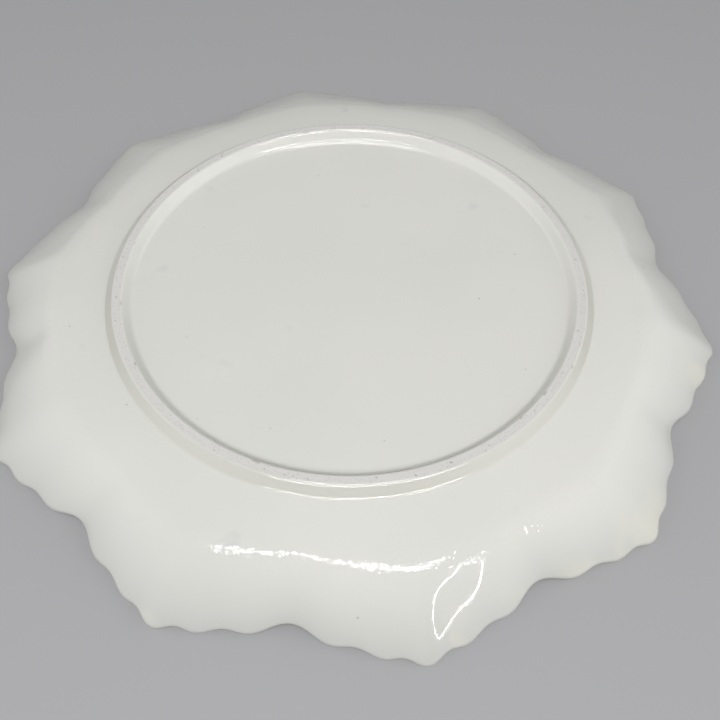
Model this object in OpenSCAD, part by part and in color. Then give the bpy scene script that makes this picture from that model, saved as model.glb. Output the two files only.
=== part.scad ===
// Fluted china plate with a petalled, scalloped rim and a round foot ring.
// It lies face down on its petal tips, so its back and foot ring look up.
// Millimetres, +Z up. The origin is on the plate's axis, level with the table.

/* [Rim outline] */
// Radius over the petal tips
tip_radius = 114; // [110:0.5:125]
// Number of petals round the rim
petals = 10; // [8:1:14]
// How far the notches between petals lie inside the tips, before the scallops
notch_depth = 9.3; // [4:0.05:12]
// Crispness of the tips and notches, 1 is a knife fold
fold_crispness = 0.97; // [0.9:0.005:0.995]
// Lean of a petal's side, hollow near the tip and full near the notch
ogee = 0.2; // [0:0.05:0.6]
// Scallops along each side of a petal, from the tip to the dip of the notch
scallops = 2.5; // [0.5:1:3.5]
// How the scallops crowd towards the tip, 1 is evenly spaced
scallop_crowding = 0.75; // [0.7:0.05:1]
// Depth of one scallop, at the front of the edge
scallop_depth = 1.4; // [0:0.05:1.6]
// How much of that depth shows on the back
back_scallop = 0.7; // [0:0.05:1]
// How far the back rolls over at the edge
edge_roll = 0.3; // [0:0.05:0.6]
// How fast the scallops and the roll die away towards the foot
edge_fade = 10; // [2:1:14]

/* [Rim section] */
// Thickness of the china under the shoulder
wall = 3.2; // [2.6:0.1:3.6]
// Thickness of the china at the rounded edge
lip = 2.6; // [2:0.1:3]
// Fall of the shoulder just outside the foot ring, in degrees
shoulder_slope = 6; // [3:0.5:10]
// Fall of the flared rim outside the shoulder, in degrees
flare_slope = 27.5; // [24:0.5:32]
// Radius of the bend between shoulder and flare, on the line to a tip
bend_radius = 92.3; // [88:0.1:96]
// Half width over which the bend is blended
bend_blend = 5; // [2:0.5:8]
// Radius where the petals begin to fold
petal_start = 80; // [78:0.5:84]
// How softly the folds set in there, as a share of the way to the edge
fold_onset = 0.1; // [0.05:0.05:0.3]
// How much higher the edge is at a notch than at a tip, before the scallops
notch_lift = 1.3; // [0:0.1:3]
// How fast that lift dies away towards the foot
lift_fade = 1.5; // [1:0.1:3]

/* [Foot ring] */
// Outer radius of the flat bearing band
band_radius = 71.3; // [66:0.1:72]
// Width of the bearing band
band_width = 2; // [1.5:0.1:3]
// Depth of the bare, unglazed layer on the band
band_depth = 0.3; // [0.2:0.05:0.5]
// Rise of the ring above the shoulder outside it
ring_rise = 2.6; // [2:0.1:3.5]
// Rise of the ring above the recessed base inside it
ring_depth = 3.3; // [2.6:0.1:4]
// Spread of the inner wall from the band down to the base
inner_spread = 2; // [1:0.1:2.5]
// Spread of the outer wall from the band down to the shoulder
outer_spread = 2.6; // [1.5:0.1:3]
// Radius of the rounded arris beside the band
arris = 1; // [0.2:0.05:1.2]
// Radius of the hollow where a wall meets the base or shoulder
hollow = 1.5; // [0.8:0.1:2]

/* [Hidden] */

china = [0.90, 0.90, 0.86];
bare_china = [0.72, 0.70, 0.64];

// Steps round the rim and along the back and front of its section, and the angles of its edge points
round_steps = petals * 30;
back_steps = 8;
edge_angles = [0, -45, -90];
front_steps = 5;
arc_steps = 6;
// Clearance between the faceted rim and the turned cavetto
seam_gap = 0.01;
rim_start = petal_start + seam_gap;

skirt_radius = band_radius + outer_spread;
band_inner = band_radius - band_width;
well_radius = band_inner - inner_spread - arris - hollow;
cavetto_radius = skirt_radius + arris + hollow;

// Fall of the back from the foot ring's outer wall to radius r on the line to a tip:
// two cones, joined at the bend by a hyperbola
shoulder_fall = tan(shoulder_slope);
flare_fall = tan(flare_slope);
function bend(x) = (x + sqrt(x * x + bend_blend * bend_blend)) / 2;
function fall(r) = shoulder_fall * (r - skirt_radius)
    + (flare_fall - shoulder_fall) * (bend(r - bend_radius) - bend(skirt_radius - bend_radius));
function bend_share(x) = (1 + x / sqrt(x * x + bend_blend * bend_blend)) / 2;
function slope(r) = atan(shoulder_fall + (flare_fall - shoulder_fall) * bend_share(r - bend_radius));

// The edge is a half round, square to the rolled flare, and at the tips it touches the table
function roll_fall(s) = edge_roll * edge_fade * pow(s, edge_fade - 1) / (tip_radius - petal_start);
edge_slope = atan(tan(slope(tip_radius - lip / 2)) + roll_fall(1));
edge_inset = lip / 2 * (1 - sin(edge_slope));
edge_height = lip / 2 * (1 + cos(edge_slope));
flare_end = tip_radius - edge_inset;
skirt_height = edge_height + fall(flare_end) + edge_roll;
band_height = skirt_height + ring_rise;
base_height = band_height - ring_depth;
function back_height(r) = skirt_height - fall(r);
// The dish's floor is level with the front of the cavetto where it starts
floor_height = back_height(cavetto_radius) - wall * cos(slope(cavetto_radius));

// A fold is 0 on the line to a tip and 1 on the line to a notch
fold_round = acos(fold_crispness);
function fold(t) = (acos(fold_crispness * cos(petals * t)) - fold_round) / (180 - 2 * fold_round);
function petal_edge(t) = flare_end - notch_depth * fold(t)
    - ogee * (cos(petals * t) - cos(3 * petals * t));
function scallop(t) = scallop_depth * (1 - cos(360 * scallops * pow(fold(t), scallop_crowding))) / 2;
// Share of a scallop's depth at angle a of the half-round edge, from its back to its front
function scallop_share(a) =
    back_scallop + (1 - back_scallop) * min(1, 1 - cos(90 - edge_slope - a));

// Back of the rim as [radius, height] at share s of the way from the petals' start to the edge,
// drawn in towards the notches along a hyperbola and cut in by the scallops along its slope
function share_radius(s) = petal_start + s * (flare_end - petal_start);
function onset(s) = sqrt(s * s + fold_onset * fold_onset) - fold_onset;
function back_point(s, t) =
    let (cut_in = back_scallop * scallop(t), at_edge = pow(s, edge_fade))
    [
        rim_start + s * (flare_end - rim_start)
            - (flare_end - petal_edge(t)) * onset(s) / onset(1) - cut_in * at_edge,
        back_height(share_radius(s)) + notch_lift * pow(fold(t), 2) * pow(s, lift_fade)
            + (cut_in * tan(edge_slope) - edge_roll) * at_edge
    ];
function square_to(a) = [sin(a), cos(a)];
function thickness(s) = wall + (lip - wall) * s;
function rim_slope(s) = atan(tan(slope(share_radius(s))) + roll_fall(s));
function front_point(s, t) = back_point(s, t) - thickness(s) * square_to(rim_slope(s))
    - [(1 - back_scallop) * scallop(t) * pow(s, edge_fade), 0];
function edge_point(a, t) =
    let (centre = back_point(1, t) - lip / 2 * square_to(edge_slope))
    centre + lip / 2 * [cos(a), sin(a)] - [(scallop_share(a) - back_scallop) * scallop(t), 0];

// Section of the rim at angle t: out along the back, round the edge and in along the front
function rim_section(t) = concat(
    [for (i = [0 : back_steps]) back_point(i / back_steps, t)],
    [for (a = edge_angles) edge_point(a, t)],
    [for (i = [front_steps : -1 : 0]) front_point(i / front_steps, t)]
);
section_points = len(rim_section(0));
function turned(p, t) = [p[0] * cos(t), p[0] * sin(t), p[1]];

// Points of an arc in a section, from angle a to angle b
function arc(centre, radius, a, b) = [
    for (i = [0 : arc_steps])
        let (t = a + (b - a) * i / arc_steps)
        centre + radius * [cos(t), sin(t)]
];
// Centre of the arc of a hollow between a wall through p that leans by angle a and a floor through q
// that falls by angle b, where side is 1 if they fall outwards and -1 if they fall inwards
function hollow_centre(p, a, q, b, side) =
    let (
        reach = side * (q[0] - p[0]),
        drop = p[1] - q[1] - tan(b) * reach - hollow / cos(b),
        x = (drop * tan(a) + hollow / cos(a)) / (1 - tan(a) * tan(b))
    )
    [p[0] + side * x, q[1] - tan(b) * (x - reach) + hollow / cos(b)];

// Flat round floor of the dish, whose back is the recessed base inside the foot ring
module well() {
    color(china)
    translate([0, 0, floor_height])
    cylinder(h = base_height - floor_height, r = well_radius, $fn = 180);
}

// Raised ring that the plate stands on, grooved for the bare band, with the part of the floor under it
module foot_ring() {
    groove = band_height - band_depth;
    inner_lean = atan(inner_spread / ring_depth);
    outer_lean = atan(outer_spread / ring_rise);
    inner_arris = [band_inner, band_height - arris];
    outer_arris = [band_radius, band_height - arris];
    inner_wall = inner_arris - [arris / cos(inner_lean), 0];
    outer_wall = outer_arris + [arris / cos(outer_lean), 0];
    inner_hollow = hollow_centre(inner_wall, inner_lean, [well_radius, base_height], 0, -1);
    outer_hollow = hollow_centre(outer_wall, outer_lean, cavetto_point(0), slope(cavetto_radius), 1);
    color(china)
    rotate_extrude($fn = 180)
    polygon(concat(
        [[well_radius, floor_height], [well_radius, base_height]],
        arc(inner_hollow, hollow, -90, -inner_lean),
        arc(inner_arris, arris, 180 - inner_lean, 90),
        [[band_inner, groove], [band_radius, groove]],
        arc(outer_arris, arris, 90, outer_lean),
        arc(outer_hollow, hollow, 180 + outer_lean, 270 - slope(cavetto_radius)),
        [cavetto_point(0), cavetto_front(0)]
    ));
}

// Bare, unglazed face of the foot ring, flush with the glaze on either side
module foot_band() {
    color(bare_china)
    translate([0, 0, band_height - band_depth])
    rotate_extrude($fn = 180)
    translate([band_inner, 0])
    square([band_width, band_depth]);
}

// Curved wall between the foot ring and the folds of the rim
function cavetto_point(k) =
    let (r = cavetto_radius + k * (petal_start - cavetto_radius))
    [r, back_height(r)];
function cavetto_front(k) =
    let (p = cavetto_point(k))
    p - wall * square_to(slope(p[0]));
module cavetto() {
    color(china)
    rotate_extrude($fn = 180)
    polygon(concat(
        [for (i = [0 : arc_steps]) cavetto_point(i / arc_steps)],
        [for (i = [arc_steps : -1 : 0]) cavetto_front(i / arc_steps)]
    ));
}

// Flared flange, folded into petals and scalloped along its edge
module rim() {
    n = section_points;
    angles = [for (i = [0 : round_steps - 1]) 360 * i / round_steps];
    points = [for (t = angles) for (p = rim_section(t)) turned(p, t)];
    function at(i, j) = (i % round_steps) * n + j % n;
    color(china)
    polyhedron(
        points,
        [
            for (i = [0 : round_steps - 1])
                for (j = [0 : n - 1])
                    for (f = [0, 1])
                        f == 0
                            ? [at(i, j), at(i, j + 1), at(i + 1, j)]
                            : [at(i + 1, j), at(i, j + 1), at(i + 1, j + 1)]
        ]
    );
}

well();
foot_ring();
foot_band();
cavetto();
rim();
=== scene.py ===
# %% [markdown]
# # A petalled china plate, seen from behind
#
# The real plate is white china: clay pressed over a mould, fired, dipped in clear glaze and fired again.
# It lies face down on the tips of its ten petals, so the foot ring and the recessed base look up.
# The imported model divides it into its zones, each a solid of its own: the well, the foot ring, the bare
# band on top of it that the potter wipes free of glaze, the cavetto and the folded rim.
# Each zone is made again here as a fine smooth surface, because a glossy glaze shows every facet.

import bpy
import numpy as np
from mathutils import Matrix, Vector


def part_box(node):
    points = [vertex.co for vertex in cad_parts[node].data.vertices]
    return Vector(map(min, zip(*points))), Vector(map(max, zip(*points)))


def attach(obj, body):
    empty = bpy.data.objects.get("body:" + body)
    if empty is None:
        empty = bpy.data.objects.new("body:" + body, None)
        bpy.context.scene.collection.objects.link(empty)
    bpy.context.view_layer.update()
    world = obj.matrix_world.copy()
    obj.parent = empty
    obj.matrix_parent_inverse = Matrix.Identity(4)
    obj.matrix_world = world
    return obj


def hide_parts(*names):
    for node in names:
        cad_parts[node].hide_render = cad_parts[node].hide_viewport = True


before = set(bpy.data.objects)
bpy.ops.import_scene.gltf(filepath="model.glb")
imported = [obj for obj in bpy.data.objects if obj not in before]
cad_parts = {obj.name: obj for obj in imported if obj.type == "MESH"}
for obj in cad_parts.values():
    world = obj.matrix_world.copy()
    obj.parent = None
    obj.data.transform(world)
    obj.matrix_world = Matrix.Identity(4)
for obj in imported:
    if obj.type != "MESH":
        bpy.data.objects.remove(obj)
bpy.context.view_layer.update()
scene = bpy.context.scene
MM = 0.001
print("nodes in the frame:", sorted(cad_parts))

# %% [markdown]
# ## The camera
#
# A hand-held camera looked down at the plate from about a forearm's length. Its place could be found by
# eye, but the foot ring is a true circle and the ten tips lie on another, and two circles in perspective
# fix the angle, the distance and the lens. The values below come from fitting those circles.
# The camera looks at a point on the table just in front of the plate's middle, and leans a little.
# Lengths are in millimetres here and in the shapes that follow.

# %% Camera
picture_side = 720
focal_pixels = 869.2
film_width = 36.0
view_turn = np.radians(7.17)
view_elevation = np.radians(53.78)
view_roll = np.radians(0.80)
view_distance = 267.5
aim = Vector((3.35, -19.28, 1.27))

turn = Matrix.Rotation(view_turn, 4, "Z")
tilt = Matrix.Rotation(np.pi / 2 - view_elevation, 4, "X")
roll = Matrix.Rotation(view_roll, 4, "Z")
towards_camera = Vector((0, -np.cos(view_elevation), np.sin(view_elevation)))
eye = (aim + view_distance * towards_camera) * MM

camera = bpy.data.objects.new("camera", bpy.data.cameras.new("camera"))
camera.data.sensor_width = film_width
camera.data.lens = focal_pixels / picture_side * film_width
camera.matrix_world = turn @ Matrix.Translation(eye) @ tilt @ roll
scene.collection.objects.link(camera)
scene.camera = camera
print(f"camera: lens {camera.data.lens:.1f} mm, {eye.z / MM:.0f} mm above the table")

# %% [markdown]
# ## The section of the back
#
# Cut through a petal's tip, the back of the plate is nearly level beside the foot ring and then turns down
# to a flare, like two cones joined by a soft bend. A spline would draw it as well, but a hyperbola does it
# with one width and has a slope that can be written down, which the china's thickness needs later.
# The heights come from the frame, so the surfaces land where the solids are.

# %% The back's section, on heights from the frame
band_low, band_high = (corner.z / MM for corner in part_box("foot_band"))
tip_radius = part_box("rim")[1].x / MM
band_radius = 71.3
ring_rise = 2.6
outer_spread = 2.6
skirt_height = band_high - ring_rise
skirt_radius = band_radius + outer_spread

bend_radius = 92.3
bend_blend = 5.0
shoulder_fall = np.tan(np.radians(6.0))
flare_fall = np.tan(np.radians(27.5))


def bend(x):
    """A hyperbola: 0 far before the bend and x far beyond it."""
    return (x + np.hypot(x, bend_blend)) / 2


def back_height(r):
    """Height of the back at radius r: the skirt's height, less the shoulder's fall, less what the flare
    adds to it."""
    past_bend = bend(r - bend_radius) - bend(skirt_radius - bend_radius)
    return skirt_height - shoulder_fall * (r - skirt_radius) - (flare_fall - shoulder_fall) * past_bend


def slope(r):
    """Angle of the back at radius r: the arc tangent of its fall, which the hyperbola turns from one
    cone's to the other's."""
    x = r - bend_radius
    return np.arctan(shoulder_fall + (flare_fall - shoulder_fall) * (1 + x / np.hypot(x, bend_blend)) / 2)


def square_to(angle):
    """Unit step as (radius, height) straight out of a face that falls outwards at this angle."""
    return np.array([np.sin(angle), np.cos(angle)])


print(f"the back falls from {skirt_height:.2f} mm to {back_height(tip_radius):.2f} mm at a tip")

# %% [markdown]
# ## From a section to a mesh
#
# Every piece is a closed section carried once round the axis. A Spin or Screw modifier could carry it,
# but the rim's section changes as it goes, so all pieces are grids of points instead: a row follows the
# plate round, a column follows the section. The columns crowd together at the folds, where the form turns
# fastest. Pressed china is never quite true, so a few long shallow waves lower it by hundredths of a
# millimetre. That is enough to make the reflections wander as they do on the real glaze.

# %% Columns round the plate, and the waves in it
petals = 10
columns = 72 * petals
crowding = 0.6
even_angles = 2 * np.pi * np.arange(columns) / columns
angles = even_angles - crowding * np.sin(2 * petals * even_angles) / (2 * petals)

wave_height = 0.02
wave_lengths = np.array([47.0, 33.0, 26.0, 19.0])
wave_bearings = np.radians([15.0, 105.0, 160.0, 60.0])
wave_phases = np.array([0.4, 1.9, 4.1, 2.6])


def waves(x, y):
    """How far the china lies below its true form: the mean of four plane waves, between 0 and twice
    wave_height."""
    across = x[..., None] * np.cos(wave_bearings) + y[..., None] * np.sin(wave_bearings)
    return wave_height * (1 - np.sin(2 * np.pi * across / wave_lengths + wave_phases).mean(axis=-1))


def round_plate(radius, height, around=angles, waviness=1.0):
    """Points of a grid whose columns stand at the given angles: the radius times cosine and sine, and the
    height less the waves."""
    radius, height = np.broadcast_arrays(radius, height)
    x, y = radius * np.cos(around), radius * np.sin(around)
    return np.stack([x, y, height - waviness * waves(x, y)], axis=-1)


steps = np.degrees(np.diff(angles))
print(f"{columns} columns, {steps.min():.2f} to {steps.max():.2f} degrees apart")

# %% The mesh of a grid, and the piece that it becomes
sharp_fold = np.radians(35)


def closed_mesh(name, grid, poles=False):
    """Mesh of a grid of points. A quad joins each point to the next row and the next column, which both
    wrap round. With poles, the rows don't wrap, and the first and last close in fans on the axis."""
    rows, across = grid.shape[:2]
    spans = rows - 1 if poles else rows
    i, j = np.meshgrid(np.arange(spans), np.arange(across), indexing="ij")
    here, below = i * across, (i + 1) % rows * across
    beside = (j + 1) % across
    quads = np.stack([here + j, below + j, below + beside, here + beside], axis=-1)
    points = grid.reshape(-1, 3)
    faces = quads.reshape(-1, 4).tolist()
    if poles:
        ring = np.arange(across)
        following = (ring + 1) % across
        last_row = (rows - 1) * across
        top = np.full(across, len(points))
        points = np.concatenate([points, [grid[0].mean(axis=0), grid[-1].mean(axis=0)]])
        faces += np.stack([top, ring, following], axis=-1).tolist()
        faces += np.stack([top + 1, last_row + following, last_row + ring], axis=-1).tolist()
    mesh = bpy.data.meshes.new(name)
    mesh.from_pydata((points * MM).tolist(), [], faces)
    mesh.shade_smooth()
    mesh.set_sharp_from_angle(angle=sharp_fold)
    return mesh


def china_piece(name, grid, node, poles=False):
    """Object of a grid that stands for one node of the frame: it hangs from the root body, and the node's
    own solid is hidden."""
    mesh = closed_mesh(name, grid, poles)
    piece = bpy.data.objects.new(name, mesh)
    scene.collection.objects.link(piece)
    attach(piece, "root")
    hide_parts(node)
    triangles = sum(len(face.vertices) - 2 for face in mesh.polygons)
    print(f"{name}: {len(mesh.vertices)} points, {triangles} triangles")
    return piece


def add_attribute(piece, name, values):
    """A number for each point of a piece, for its material to read."""
    attribute = piece.data.attributes.new(name, "FLOAT", "POINT")
    attribute.data.foreach_set("value", values.astype(np.float32))


print(f"folds sharper than {np.degrees(sharp_fold):.0f} degrees stay edges, and the rest is shaded smooth")

# %% [markdown]
# ## The folded rim
#
# The mould folds the rim into ten petals: a ridge runs out to each tip and a shallow valley to each notch
# between two petals. Small scallops nibble each side of a petal, closer together near its tip. They are cut
# in along the slope of the flare, deepest at the front of the edge, and fade away from it.
# Sculpting could give one such petal. A formula gives all ten, crisp and alike: a rounded triangle wave
# round the plate says how far each line is from its tip's ridge, and draws the edge in and up by that
# share. The china thins towards the edge, which the potter sponges to a half round.

# %% Outline of the rim
petal_start = 80.0
lip = 2.6
edge_roll = 0.3
edge_fade = 10
notch_depth = 9.3
fold_crispness = 0.97
ogee = 0.2
scallops = 2.5
scallop_crowding = 0.75
scallop_depth = 1.4


def roll_fall(s):
    """How much the roll at the edge steepens the back at share s of the way out: the slope of a power
    of s."""
    return edge_roll * edge_fade * s ** (edge_fade - 1) / (tip_radius - petal_start)


edge_slope = np.arctan(np.tan(slope(tip_radius - lip / 2)) + roll_fall(1))
flare_end = tip_radius - lip / 2 * (1 - np.sin(edge_slope))
fold_round = np.arccos(fold_crispness)


def fold(t):
    """Triangle wave with rounded corners, 0 on the line to a tip and 1 on the line to a notch: the arc
    cosine of a cosine that stays just short of 1."""
    return (np.arccos(fold_crispness * np.cos(petals * t)) - fold_round) / (np.pi - 2 * fold_round)


def petal_edge(t):
    """Radius of the edge before the scallops: the tips' radius less the fold's share of the notches' depth,
    leaning like an ogee."""
    return flare_end - notch_depth * fold(t) - ogee * (np.cos(petals * t) - np.cos(3 * petals * t))


def scallop(t):
    """Depth of the scallops at the front of the edge: a raised cosine of the fold, 0 at the tips and
    deepest in the notches. Its waves crowd towards the tips because the fold is raised to a power
    below 1."""
    return scallop_depth * (1 - np.cos(2 * np.pi * scallops * fold(t) ** scallop_crowding)) / 2


print(f"edge between {petal_edge(np.pi / petals):.1f} mm at a notch and {petal_edge(0.0):.1f} mm at a tip")

# %% Section of the rim
wall = 3.2
fold_onset = 0.1
back_scallop = 0.7
notch_lift = 1.3
lift_fade = 1.5


def share_radius(s):
    """Radius on the line to a tip at share s of the way from the start of the petals to the edge."""
    return petal_start + s * (flare_end - petal_start)


def onset(s):
    """Share of the folding at share s: a hyperbola that starts level and reaches 1 at the edge."""
    return (np.hypot(s, fold_onset) - fold_onset) / (np.hypot(1, fold_onset) - fold_onset)


def at_edge(s):
    """Nearness to the edge: a high power of s, 1 at the edge and almost 0 a little inside it."""
    return s**edge_fade


def rim_back(s, t):
    """Radius and height of the back at share s and angle t: the section of the back, drawn in and lifted
    towards the notches, cut in by the scallops along the slope of the flare, and rolled over at the
    edge."""
    cut_in = back_scallop * scallop(t)
    radius = share_radius(s) - (flare_end - petal_edge(t)) * onset(s) - cut_in * at_edge(s)
    height = back_height(share_radius(s)) + notch_lift * fold(t) ** 2 * s**lift_fade
    return radius, height + (cut_in * np.tan(edge_slope) - edge_roll) * at_edge(s)


def rim_front(s, t):
    """Radius and height of the front: the china's thickness straight in from the back, and the rest of the
    scallops' depth."""
    radius, height = rim_back(s, t)
    rim_slope = np.arctan(np.tan(slope(share_radius(s))) + roll_fall(s))
    inwards = (wall + (lip - wall) * s) * square_to(rim_slope)
    return radius - inwards[0] - (1 - back_scallop) * scallop(t) * at_edge(s), height - inwards[1]


def rim_edge(a, t):
    """Radius and height of the half round at angle a: a circle of the lip's thickness that meets back and
    front, drawn in by the scallops, which deepen with the drop from the back to the middle of the edge."""
    radius, height = rim_back(1.0, t)
    inwards = lip / 2 * square_to(edge_slope)
    drop = np.minimum(1, 1 - np.cos(np.pi / 2 - edge_slope - a))
    radius = radius - inwards[0] + lip / 2 * np.cos(a) - (1 - back_scallop) * drop * scallop(t)
    return radius, height - inwards[1] + lip / 2 * np.sin(a)


print(f"the flare meets the edge at {np.degrees(edge_slope):.1f} degrees, {flare_end:.2f} mm from the axis")

# %% Rim
seam_row = 0.003
edge_rows = 13
# The solid's facets cut across its curves, so the smooth edge is drawn in by as much to stay in their box
facet_sag = 0.125


def shares_out(first, rows):
    """Shares from 0 to 1: the seam, a very narrow row beside it, and even rows from the first one on."""
    return np.concatenate([[0, seam_row], np.linspace(first, 1, rows)])[:, None]


back_shares = shares_out(first=0.02, rows=44)
front_shares = shares_out(first=0.03, rows=26)[::-1]
edge_turn = np.linspace(np.pi / 2 - edge_slope, -np.pi / 2 - edge_slope, edge_rows + 2)[1:-1, None]

stretches = [rim_back(back_shares, angles), rim_edge(edge_turn, angles), rim_front(front_shares, angles)]
rim_radius, rim_height = (np.concatenate(part) for part in zip(*stretches))
out_share = np.concatenate([back_shares, np.ones_like(edge_turn), front_shares])
drawn_in = facet_sag * at_edge(out_share)
rim_grid = round_plate(rim_radius - drawn_in, rim_height, waviness=1 - at_edge(out_share))
rim = china_piece("glazed_rim", rim_grid, "rim")
# The share outwards also sets the painted shade that greys the rim towards its edge.
add_attribute(rim, "outwards", np.repeat(out_share, columns))

# %% [markdown]
# ## The cavetto
#
# A cavetto is the curved wall between a plate's flat middle and its rim. Here it is a plain turned band:
# the same section as the rim, before the petals begin to fold. It is cut off square at both ends, and a
# very narrow row beside each cut makes its smooth shading meet its neighbours' without a line.

# %% Cavetto
arris = 1.0
hollow = 1.5
cavetto_radius = skirt_radius + arris + hollow
cavetto_rows = 9
seam_width = 0.1

even_radii = np.linspace(cavetto_radius, petal_start, cavetto_rows)
seam_radii = [cavetto_radius + seam_width, petal_start - seam_width]
cavetto_radii = np.sort(np.concatenate([even_radii, seam_radii]))
cavetto_back = np.stack([cavetto_radii, back_height(cavetto_radii)], axis=-1)
cavetto_front = cavetto_back - wall * square_to(slope(cavetto_radii)).T
cavetto_section = np.concatenate([cavetto_back, cavetto_front[::-1]])
cavetto_grid = round_plate(cavetto_section[:, :1], cavetto_section[:, 1:])
cavetto = china_piece("glazed_cavetto", cavetto_grid, "cavetto")

# %% [markdown]
# ## The foot ring
#
# The ring that the plate stands on is turned with a shaped tool: two leaning walls, a small rounded arris
# at the top of each, and a hollow at the bottom where glaze pools. Bevelling a square ring would come
# close, but arcs that touch the walls exactly keep the thin bright lines that lamps draw along the real
# ring. The top is grooved, and the bare band fills the groove. Two numbers go with each point, for the
# glaze to read: how much yellow tint of pooled glaze and painted shade its outer wall takes, and how worn
# the arris is.

# %% Section of the foot ring
floor_height, base_height = (corner.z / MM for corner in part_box("well"))
band_width = 2.0
inner_spread = 2.0
band_inner = band_radius - band_width
well_radius = band_inner - inner_spread - arris - hollow
inner_lean = np.arctan(inner_spread / (band_high - base_height))
outer_lean = np.arctan(outer_spread / ring_rise)
arc_steps = 12


def arc(centre, radius, start, end):
    """Points of an arc in a section, from one angle to another in radians."""
    turned = np.linspace(start, end, arc_steps + 1)
    return centre + radius * np.stack([np.cos(turned), np.sin(turned)], axis=-1)


def hollow_centre(wall_point, lean, floor_point, falling, side):
    """Centre of the arc that touches a leaning wall and a falling floor: the point at the hollow's radius
    from both. The side is 1 if they fall outwards and -1 if they fall inwards."""
    reach = side * (floor_point[0] - wall_point[0])
    drop = wall_point[1] - floor_point[1] - np.tan(falling) * reach - hollow / np.cos(falling)
    x = (drop * np.tan(lean) + hollow / np.cos(lean)) / (1 - np.tan(lean) * np.tan(falling))
    height = floor_point[1] - np.tan(falling) * (x - reach) + hollow / np.cos(falling)
    return np.array([wall_point[0] + side * x, height])


inner_arris = np.array([band_inner, band_high - arris])
outer_arris = np.array([band_radius, band_high - arris])
inner_wall = inner_arris - [arris / np.cos(inner_lean), 0]
outer_wall = outer_arris + [arris / np.cos(outer_lean), 0]
ring_fall = slope(cavetto_radius)
inner_hollow = hollow_centre(inner_wall, inner_lean, [well_radius, base_height], 0.0, -1)
outer_hollow = hollow_centre(outer_wall, outer_lean, cavetto_back[0], ring_fall, 1)
print(f"the ring's hollows turn about {inner_hollow[0]:.2f} and {outer_hollow[0]:.2f} mm from the axis")

# %% Foot ring
ring_stretches = [
    [[well_radius, base_height]],
    arc(inner_hollow, hollow, -np.pi / 2, -inner_lean),
    arc(inner_arris, arris, np.pi - inner_lean, np.pi / 2),
    [[band_inner, band_low], [band_radius, band_low]],
    arc(outer_arris, arris, np.pi / 2, outer_lean),
    arc(outer_hollow, hollow, np.pi + outer_lean, 1.5 * np.pi - ring_fall),
    [cavetto_back[0], cavetto_front[0], [well_radius, floor_height]],
]
ring_section = np.concatenate(ring_stretches)
ring_grid = round_plate(ring_section[:, :1], ring_section[:, 1:])
foot_ring = china_piece("glazed_foot_ring", ring_grid, "foot_ring")


def along_section(*shares):
    """One value for each point of the ring: a run from one share to the next over each stretch."""
    runs = [np.linspace(*share, len(stretch)) for share, stretch in zip(shares, ring_stretches)]
    return np.repeat(np.concatenate(runs), columns)


none, rising, falling = (0, 0), (0, 1), (1, 0)
# Yellow tint of pooled glaze together with painted shade: none at the top of the outer arris, full on the
# outer wall, none again at the foot of the hollow.
pool_and_shade = along_section(none, none, none, none, rising, falling, none)
worn = along_section(none, none, rising, none, falling, none, none)
add_attribute(foot_ring, "pool_and_shade", pool_and_shade)
add_attribute(foot_ring, "worn", worn)
# Counts the points that take pooled glaze tint and painted shade.
print(f"glaze pools at {np.mean(pool_and_shade > 0):.0%} of its points, and {np.mean(worn > 0):.0%} are worn")

# %% [markdown]
# ## The bare foot band
#
# Glaze would weld a plate to the kiln shelf, so it is wiped off the top of the foot ring. A century of
# shelves has worn that band: it is gritty and a little lower in places. A flat ring with a bump map would
# look flat from the side, so the top is a grid whose points are lowered by seeded random grit and by a slow
# wander of the wear.

# %% Bare foot band
band_columns = 1440
band_rows = 9
grit_seed = 11
grit_depth = 0.05
grit_sparseness = 3
grit_at_arris = 0.4
wear_depth = 0.04
wear_turns = 7, 3
wear_phase = 1.0

band_angles = 2 * np.pi * np.arange(band_columns) / band_columns
grit = np.random.default_rng(grit_seed).random((band_rows, band_columns)) ** grit_sparseness
grit[[0, -1]] *= grit_at_arris
wear = (1 + np.sin(wear_turns[0] * band_angles + wear_phase) * np.sin(wear_turns[1] * band_angles)) / 2

band_top = band_high - grit_depth * grit - wear_depth * wear
band_height = np.concatenate([band_top, np.full((2, band_columns), band_low)])
band_radii = np.concatenate([np.linspace(band_inner, band_radius, band_rows), [band_radius, band_inner]])
band_grid = round_plate(band_radii[:, None], band_height, around=band_angles)
foot_band = china_piece("bare_foot_band", band_grid, "foot_band")

# %% [markdown]
# ## The well
#
# The well is the flat floor of the dish, and its back is the recessed base inside the foot ring.
# A cylinder primitive has one face on top, which shades as a dead flat mirror. A grid of rings that closes
# in a point on the axis can carry the china's waves.

# %% Well
first_ring = 2.0
well_rings = 24
even_rings = np.linspace(first_ring, well_radius - seam_width, well_rings)
well_radii = np.concatenate([even_rings, [well_radius]])[:, None]
well_section = np.concatenate([well_radii, well_radii[::-1]])
well_height = np.repeat([base_height, floor_height], len(well_radii))[:, None]
well_grid = round_plate(well_section, well_height)
well = china_piece("glazed_well", well_grid, "well", poles=True)

# %% [markdown]
# ## Writing materials as sums
#
# A material is a graph of nodes, and wiring one by hand hides what it computes. The class below wraps a
# node's output, so that ordinary operators on it add Math nodes, and one method adds any other node.

# %% A wire between nodes
# A Mix node has sockets for numbers, vectors and colours under the same names, so its colours go by number
COLOUR_A, COLOUR_B, COLOUR_RESULT = 6, 7, 2


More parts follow.
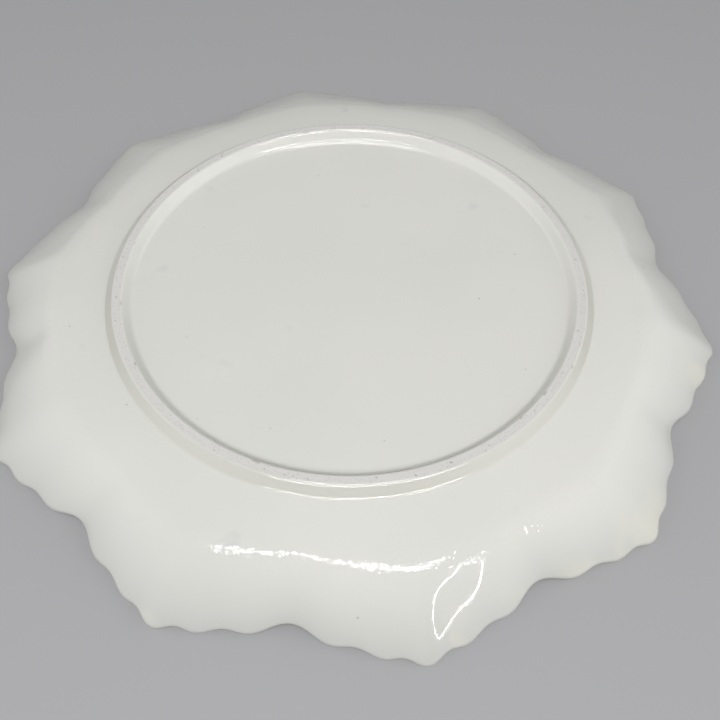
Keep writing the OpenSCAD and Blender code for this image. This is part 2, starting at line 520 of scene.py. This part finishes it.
class Wire:
    """One output socket in a material. Operators on it add Math nodes, and add() makes any other node."""

    def __init__(self, tree, socket=None):
        self.tree = tree
        self.socket = socket

    def add(self, kind, settings=None, sockets=None, output=0):
        """Makes a node of this kind: first its settings, then the values or links of its sockets."""
        node = self.tree.nodes.new(kind)
        for name, value in (settings or {}).items():
            setattr(node, name, value)
        for name, value in (sockets or {}).items():
            if isinstance(value, Wire):
                self.tree.links.new(value.socket, node.inputs[name])
            else:
                node.inputs[name].default_value = value
        return Wire(self.tree, node.outputs[output] if len(node.outputs) else None)

    def math(self, operation, *values):
        """A Math node on these values or wires."""
        return self.add("ShaderNodeMath", {"operation": operation}, dict(enumerate(values)))

    def between(self, low, high):
        """0 below low, 1 above high, and smooth between them."""
        sockets = {"Value": self, "From Min": low, "From Max": high}
        return self.add("ShaderNodeMapRange", {"interpolation_type": "SMOOTHSTEP"}, sockets)

    def mix(self, without, with_all):
        """Mix of two colours by this mask."""
        sockets = {"Factor": self, COLOUR_A: without, COLOUR_B: with_all}
        return self.add("ShaderNodeMix", {"data_type": "RGBA"}, sockets, output=COLOUR_RESULT)

    def __add__(self, other):
        return self.math("ADD", self, other)

    def __rsub__(self, other):
        return self.math("SUBTRACT", other, self)

    def __mul__(self, other):
        return self.math("MULTIPLY", self, other)

    def __pow__(self, other):
        return self.math("POWER", self, other)

    __radd__ = __add__
    __rmul__ = __mul__


def new_material(name):
    """An empty material and a wire to start from."""
    material = bpy.data.materials.new(name)
    material.use_nodes = True
    material.node_tree.nodes.clear()
    return material, Wire(material.node_tree)


print("wires can add, subtract, multiply, raise to a power and mix")

# %% [markdown]
# ## The glaze
#
# Old bone china is not pure white: the clear glaze is faintly green where it is thick and the body faintly
# cream. Its surface has the slight dimpling that potters call orange peel, and chatter along the bend where
# the tool turned. It has a few pinholes with dirt in them, dull smears from handling, and yellow age near
# the edge. Painting these on a picture would pin them to one view, so they are noise in the plate's own
# coordinates, which run on from one piece to the next. Three finishes follow the form instead, and read the
# numbers that go with the points: glaze pools against the outer wall of the foot ring, together with
# painted shade that darkens that wall, dirt clings to its worn arrises, and painted shade greys the rim
# towards its edge.

# %% Places and patterns that materials read
def object_place(start):
    """The place on a piece in its object's own coordinates, in metres, which are the plate's."""
    return start.add("ShaderNodeTexCoord", output="Object")


def vector_length(vector):
    """How long a vector is: the root of the sum of its squares."""
    return vector.add("ShaderNodeVectorMath", {"operation": "LENGTH"}, {0: vector}, output="Value")


def noise(place, scale, detail=2.0, distortion=0.0):
    """Smooth noise from 0 to 1 with about this many lumps to the metre."""
    sockets = {"Vector": place, "Scale": scale, "Detail": detail, "Distortion": distortion}
    return place.add("ShaderNodeTexNoise", {}, sockets)


def attribute(start, name):
    """The number that goes with each point of a piece, or 0 on a piece without it."""
    return start.add("ShaderNodeAttribute", {"attribute_name": name}, output="Fac")


glazed_china, start = new_material("glazed_china")
place = object_place(start)
flat_place = start.add("ShaderNodeVectorMath", {"operation": "MULTIPLY"}, {0: place, 1: (1, 1, 0)})
from_axis = vector_length(flat_place)
print("the glaze reads:", [node.bl_label for node in glazed_china.node_tree.nodes])

# %% Colour of the glaze
china_white = (0.745, 0.750, 0.705, 1)
china_cream = (0.770, 0.765, 0.725, 1)
# yellow grey of pooled glaze, darkened further as painted shade on the ring's outer wall
pooled_glaze_shade_yellow = (0.600, 0.600, 0.545, 1)
aged_yellow = (0.760, 0.735, 0.620, 1)
smudge_grey = (0.600, 0.600, 0.610, 1)
# grey of the painted shade towards the rim's edge
edge_shade_grey = (0.370, 0.375, 0.360, 1)
pinhole_grey = (0.300, 0.290, 0.260, 1)
dirt_brown = (0.400, 0.300, 0.220, 1)

# A pinhole sits in the middle of some cells of a Voronoi pattern, about 25 mm apart
cells = {"Vector": flat_place, "Scale": 40.0, "Randomness": 1.0}
cell_distance = start.add("ShaderNodeTexVoronoi", {"voronoi_dimensions": "2D"}, cells)
cell_chance = start.add("ShaderNodeTexVoronoi", {"voronoi_dimensions": "2D"}, cells, output="Color")
pinhole = (1 - cell_distance.between(0.004, 0.016)) * cell_chance.between(0.55, 0.95)

near_edge = from_axis.between(98 * MM, 112 * MM)
stain = noise(place, 30.0, detail=4.0).between(0.55, 0.66)
caked = noise(place, 260.0, detail=3.0).between(0.64, 0.72)
# The share that each layer covers and its colour, from the body outwards
layers = [
    (noise(place, 22.0, detail=3.0).between(0.35, 0.65), china_cream),
    # yellow tint of pooled glaze with painted shade on the foot ring's outer wall
    (0.8 * attribute(start, "pool_and_shade"), pooled_glaze_shade_yellow),
    # painted shade, greying the rim towards its edge
    (0.5 * attribute(start, "outwards") ** 2.2, edge_shade_grey),
    (0.42 * near_edge * stain, aged_yellow),
    (0.35 * noise(place, 95.0).between(0.70, 0.80), smudge_grey),
    (0.7 * pinhole, pinhole_grey),
    (0.6 * attribute(start, "worn") * caked, dirt_brown),
]
glaze_colour = china_white
for share, colour in layers:
    glaze_colour = share.mix(glaze_colour, colour)
print(f"colour of the glaze: {len(layers)} layers, {len(glazed_china.node_tree.nodes)} nodes")

# %% Gloss of the glaze
glaze_ior = 1.55
clean_roughness = 0.04
smear_roughness = 0.05
bump_depth = 0.03 * MM

chatter_ring = from_axis.between(86 * MM, 89 * MM) * (1 - from_axis.between(93 * MM, 96 * MM))
orange_peel = 0.05 * noise(place, 420.0, detail=1.0)
chatter = 2.4 * chatter_ring * noise(place, 900.0, detail=1.0)
smears = noise(place, 60.0, detail=5.0, distortion=1.5).between(0.45, 0.75)
bump_sockets = {"Strength": 1.0, "Distance": bump_depth, "Height": orange_peel + chatter}
shader = start.add("ShaderNodeBsdfPrincipled", {}, {
    "Base Color": glaze_colour,
    "Roughness": clean_roughness + smear_roughness * smears,
    "Normal": start.add("ShaderNodeBump", {}, bump_sockets),
    "IOR": glaze_ior,
})
start.add("ShaderNodeOutputMaterial", {}, {"Surface": shader})
for piece in (rim, cavetto, foot_ring, well):
    piece.data.materials.append(glazed_china)
print("glazed china:", len(glazed_china.node_tree.nodes), "nodes")

# %% [markdown]
# ## The bare china
#
# Where the glaze is wiped off, the fired body is matt and slightly porous, and it has taken up dirt.
# One grey would look like paint. Noise at two scales gives it a fine grain and scattered darker pits.

# %% Bare china
bare_white = (0.690, 0.680, 0.655, 1)
bare_grey = (0.615, 0.600, 0.575, 1)
pit_grey = (0.420, 0.400, 0.370, 1)
bare_roughness = 0.65

bare_china, start = new_material("bare_china")
place = object_place(start)
grain = noise(place, 1500.0, detail=3.0).between(0.50, 0.70)
pits = noise(place, 850.0).between(0.66, 0.74)
bare_colour = pits.mix(grain.mix(bare_white, bare_grey), pit_grey)
bare_sockets = {"Base Color": bare_colour, "Roughness": bare_roughness}
shader = start.add("ShaderNodeBsdfPrincipled", {}, bare_sockets)
start.add("ShaderNodeOutputMaterial", {}, {"Surface": shader})
foot_band.data.materials.append(bare_china)
print("bare china:", len(bare_china.node_tree.nodes), "nodes")

# %% [markdown]
# ## The table
#
# The plate is white, so the table is a pale grey that it stands out from. A real studio table curves up
# behind the object so that no far edge shows. Here the far table is see-through to the camera alone, while
# its light and its mirror image in the glaze stay. Its underside is see-through as well, so that the plate
# can be looked at from below.

# %% Table
table_colour = (0.42, 0.42, 0.43, 1)
table_roughness = 0.9
table_half = 3.0
fade_start = 0.4
fade_end = 1.3

table_mesh = bpy.data.meshes.new("table")
corners = [(-1, -1, 0), (1, -1, 0), (1, 1, 0), (-1, 1, 0)]
table_mesh.from_pydata([Vector(c) * table_half for c in corners], [], [(0, 1, 2, 3)])
table = bpy.data.objects.new("table", table_mesh)
scene.collection.objects.link(table)

table_top, start = new_material("table_top")
top_sockets = {"Base Color": table_colour, "Roughness": table_roughness}
matt_grey = start.add("ShaderNodeBsdfPrincipled", {}, top_sockets)
clear = start.add("ShaderNodeBsdfTransparent")
underside = start.add("ShaderNodeNewGeometry", output="Backfacing")
seen_directly = start.add("ShaderNodeLightPath", output="Is Camera Ray")
far_off = vector_length(object_place(start)).between(fade_start, fade_end)
see_through = start.math("MAXIMUM", underside, seen_directly * far_off)
shader = start.add("ShaderNodeMixShader", {}, {0: see_through, 1: matt_grey, 2: clear})
start.add("ShaderNodeOutputMaterial", {}, {"Surface": shader})
table_mesh.materials.append(table_top)
print(f"table: {2 * table_half:.0f} m square, seen to {fade_end} m from its middle")

# %% [markdown]
# ## The lamps
#
# One large soft panel in front lights the plate. A glaze mirrors its lamps, and that panel would lie on it
# as a white slab, so the glaze's mirror is kept from seeing it. It sees small lamps instead, which light
# nothing else. A strip draws the crisp line along the bend of the rim, and a panel behind the plate draws
# thin lines along the top of the foot ring. A low strip draws the lines on either side of the ring's outer
# wall. It would also streak the near petals, so it is linked to the ring alone, as a screen would keep it.

# %% Where lamps stand
def seen_from_plate(right, elevation, distance):
    """Place of a lamp in metres: degrees to the right of the camera, degrees above the table, and metres
    from the plate."""
    right, elevation = np.radians(right), np.radians(elevation)
    level = np.cos(elevation)
    direction = Vector((np.sin(right) * level, -np.cos(right) * level, np.sin(elevation)))
    return turn @ (distance * direction)


def facing_plate(place):
    """Turn that points a lamp's own -Z axis from its place at the plate."""
    return Matrix.Translation(place) @ place.to_track_quat("Z", "Y").to_matrix().to_4x4()


def soft_lamp(name, place, size, watts):
    """An area lamp of (width, depth) metres at a place, facing the plate."""
    light = bpy.data.lights.new(name, "AREA")
    light.shape = "RECTANGLE"
    light.size, light.size_y = size
    light.energy = watts
    lamp = bpy.data.objects.new(name, light)
    lamp.matrix_world = facing_plate(place)
    scene.collection.objects.link(lamp)
    return lamp


def strip_lamp(name, place, length, width, glow):
    """A lamp of this glow, seen in the glaze alone: the watts are pi times glow times area."""
    lamp = soft_lamp(name, place, (length, width), np.pi * glow * length * width)
    lamp.visible_diffuse = False
    return lamp


in_front = seen_from_plate(right=0, elevation=57, distance=1.3)
print("a panel in front stands at", [round(x, 2) for x in in_front], "m")

# %% Lamps
front_panel = soft_lamp("front_panel", in_front, size=(0.9, 0.9), watts=13.5)
front_panel.visible_glossy = False

above_bend = seen_from_plate(right=1, elevation=66.6, distance=0.654)
bend_strip = strip_lamp("bend_strip", above_bend, length=0.51, width=0.008, glow=90.0)
behind = seen_from_plate(right=180, elevation=71, distance=1.2)
ring_strip = strip_lamp("ring_strip", behind, length=0.25, width=0.14, glow=20.0)
low_in_front = seen_from_plate(right=8, elevation=36, distance=0.75)
wall_strip = strip_lamp("wall_strip", low_in_front, length=0.95, width=0.026, glow=85.0)

lit_by_wall_strip = bpy.data.collections.new("lit_by_wall_strip")
lit_by_wall_strip.objects.link(foot_ring)
wall_strip.light_linking.receiver_collection = lit_by_wall_strip

lamps = (front_panel, bend_strip, ring_strip, wall_strip)
print("lamps in watts:", {lamp.name: round(lamp.data.energy, 2) for lamp in lamps})

# %% [markdown]
# ## The ring lamp
#
# A small round lamp, such as a photographer clips beside a lens, shows as a bright loop on the flank of one
# near petal. An area lamp would show as a filled disc, so this one is a glowing tube, bent to a loop.

# %% Ring lamp
loop_half_width = 60.0
loop_half_height = 58.0
loop_tube = 1.4
loop_columns = 96
loop_rows = 12
loop_colour = (1, 0.98, 0.95, 1)
loop_glow = 60.0

around_loop = np.linspace(0, 2 * np.pi, loop_columns, endpoint=False)
around_tube = np.linspace(0, 2 * np.pi, loop_rows, endpoint=False)[:, None]
tube_x = loop_tube * np.cos(around_tube)
loop_x = (loop_half_width - tube_x) * np.cos(around_loop)
loop_y = (loop_half_height - tube_x) * np.sin(around_loop)
loop_z = np.broadcast_to(loop_tube * np.sin(around_tube), loop_x.shape)
loop_mesh = closed_mesh("ring_lamp", np.stack([loop_x, loop_y, loop_z], axis=-1))
ring_lamp = bpy.data.objects.new("ring_lamp", loop_mesh)
ring_lamp.matrix_world = facing_plate(seen_from_plate(right=42, elevation=42.5, distance=0.765))
ring_lamp.visible_camera = False
ring_lamp.visible_diffuse = False
scene.collection.objects.link(ring_lamp)

lamp_glow, start = new_material("lamp_glow")
glow = start.add("ShaderNodeEmission", {}, {"Color": loop_colour, "Strength": loop_glow})
start.add("ShaderNodeOutputMaterial", {}, {"Surface": glow})
loop_mesh.materials.append(lamp_glow)
print(f"ring lamp: {2 * loop_half_width:.0f} by {2 * loop_half_height:.0f} mm")

# %% [markdown]
# ## The room
#
# Pale walls to the left and right give the petals their soft white flanks. Painting walls on planes would
# put hard edges in the glaze, so the room is light that depends on direction: bright to either side, dim
# elsewhere, and fading towards the floor. The camera sees a plain backdrop in its place.

# %% Room
room_level = 0.05
left_level = 1.20
right_level = 1.52
backdrop_level = 0.45
side_start, side_full = 0.35, 0.90
floor_start, floor_clear = -0.15, 0.30


def along(vector, direction):
    """How far a vector points along a direction: their dot product."""
    sockets = {0: vector, 1: tuple(direction)}
    return vector.add("ShaderNodeVectorMath", {"operation": "DOT_PRODUCT"}, sockets, output="Value")


room = bpy.data.worlds.new("room")
room.use_nodes = True
room.node_tree.nodes.clear()
scene.world = room
start = Wire(room.node_tree)
gaze = start.add("ShaderNodeTexCoord", output="Generated")
to_right = along(gaze, turn.to_3x3() @ Vector((1, 0, 0)))
above_floor = along(gaze, (0, 0, 1)).between(floor_start, floor_clear)
right_side = to_right.between(side_start, side_full)
left_side = (-1 * to_right).between(side_start, side_full)
room_light = room_level + (right_level * right_side + left_level * left_side) * above_floor
seen_directly = start.add("ShaderNodeLightPath", output="Is Camera Ray")
shown_light = room_light + seen_directly * (backdrop_level - room_light)
background = start.add("ShaderNodeBackground", {}, {"Strength": shown_light})
start.add("ShaderNodeOutputWorld", {}, {"Surface": background})
print("room:", len(room.node_tree.nodes), "nodes")

# %% [markdown]
# ## Finish
#
# The picture is drawn with the Standard view transform.

# %% Finish
scene.view_settings.view_transform = "Standard"
